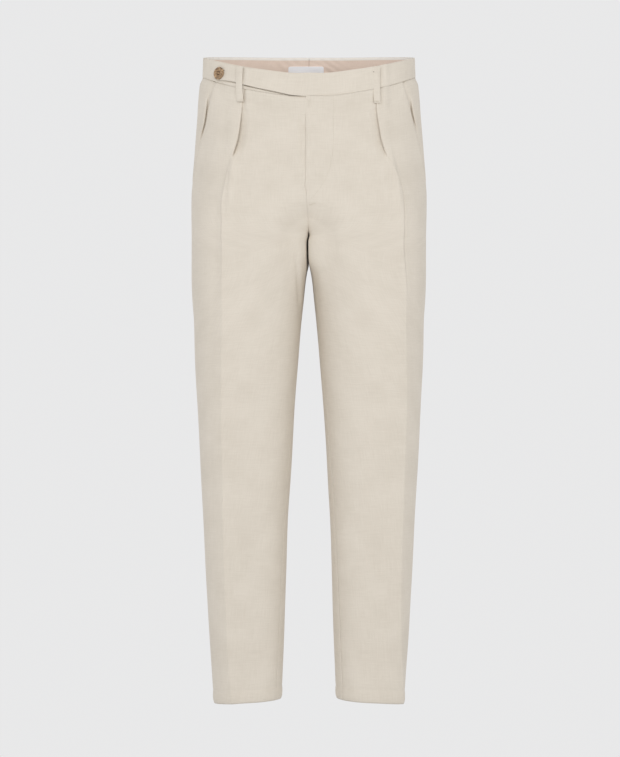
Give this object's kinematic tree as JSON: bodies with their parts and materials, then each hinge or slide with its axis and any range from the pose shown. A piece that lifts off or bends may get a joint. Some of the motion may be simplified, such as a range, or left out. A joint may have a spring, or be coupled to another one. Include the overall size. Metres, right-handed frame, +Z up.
{
  "type": "wool trousers",
  "caption": "Stone-coloured wool trousers with a deep front pleat on each side, pressed creases, slanted pockets, belt loops and a buttoned waist tab.",
  "frame": {"origin": "centre of the waist opening, level with the tops of the side seams", "axes": "+X towards the wearer's left, +Y towards the back, +Z up along the body"},
  "size_m": [0.3827, 0.2557, 1.0595],
  "materials": {
    "wool": "matt wool twill",
    "facing": "plain cotton lining",
    "label": "smooth woven tape",
    "zip": "woven zip tape",
    "horn": "polished horn"
  },
  "bodies": {
    "root": {"front_right": "wool", "front_left": "wool", "back_right": "wool", "back_left": "wool", "pocket_side_right": "wool", "pocket_side_left": "wool", "waistband_right": "wool", "waistband_left": "wool", "fly_shield": "wool", "loop_front_right": "wool", "loop_front_left": "wool", "loop_back_right": "wool", "loop_back_left": "wool", "loop_back_centre": "wool", "band_facing_right": "facing", "band_facing_left": "facing", "label": "label", "fly_zip": "zip", "button": "horn"}
  },
  "joints": []
}
